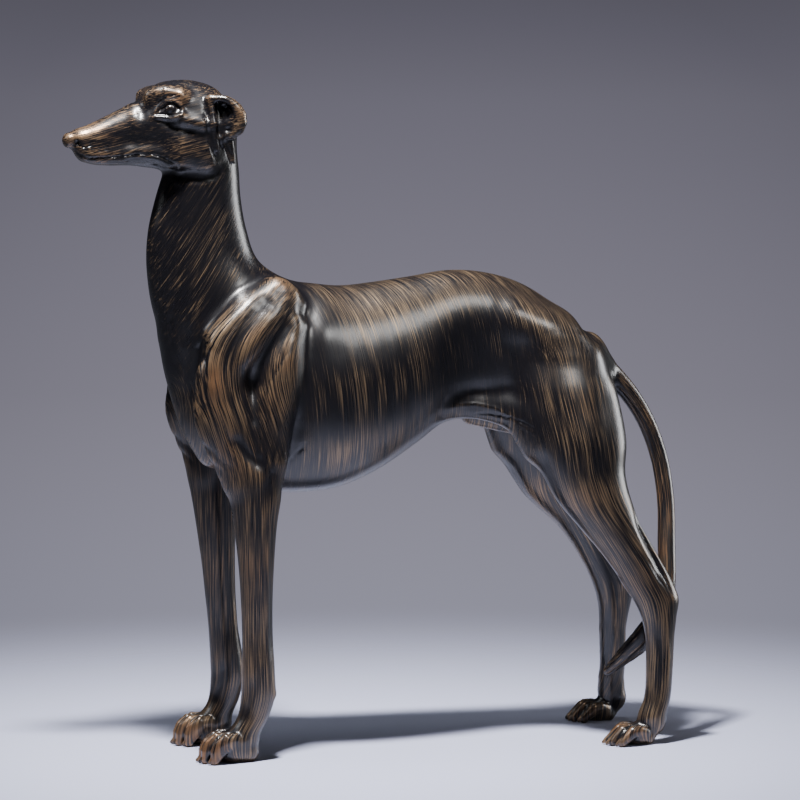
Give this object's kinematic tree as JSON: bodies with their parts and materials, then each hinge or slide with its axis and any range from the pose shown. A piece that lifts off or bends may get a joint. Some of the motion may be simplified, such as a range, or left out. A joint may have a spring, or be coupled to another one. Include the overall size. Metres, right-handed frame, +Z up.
{
  "type": "whippet figurine",
  "caption": "Standing sighthound figure cast in one piece, head level, tail swept down between the hind legs, in a near-black lacquer brushed with antique bronze.",
  "frame": {"origin": "middle of the figure's length and width, at the level of the soles", "axes": "+Z up, the dog faces -X, its left side is towards -Y"},
  "size_m": [0.3208, 0.0992, 0.3401],
  "materials": {
    "bronze_lacquer": "cast resin in near-black lacquer with dry-brushed antique bronze streaks, semi-gloss"
  },
  "bodies": {
    "root": {"whippet": "bronze_lacquer"}
  },
  "joints": []
}
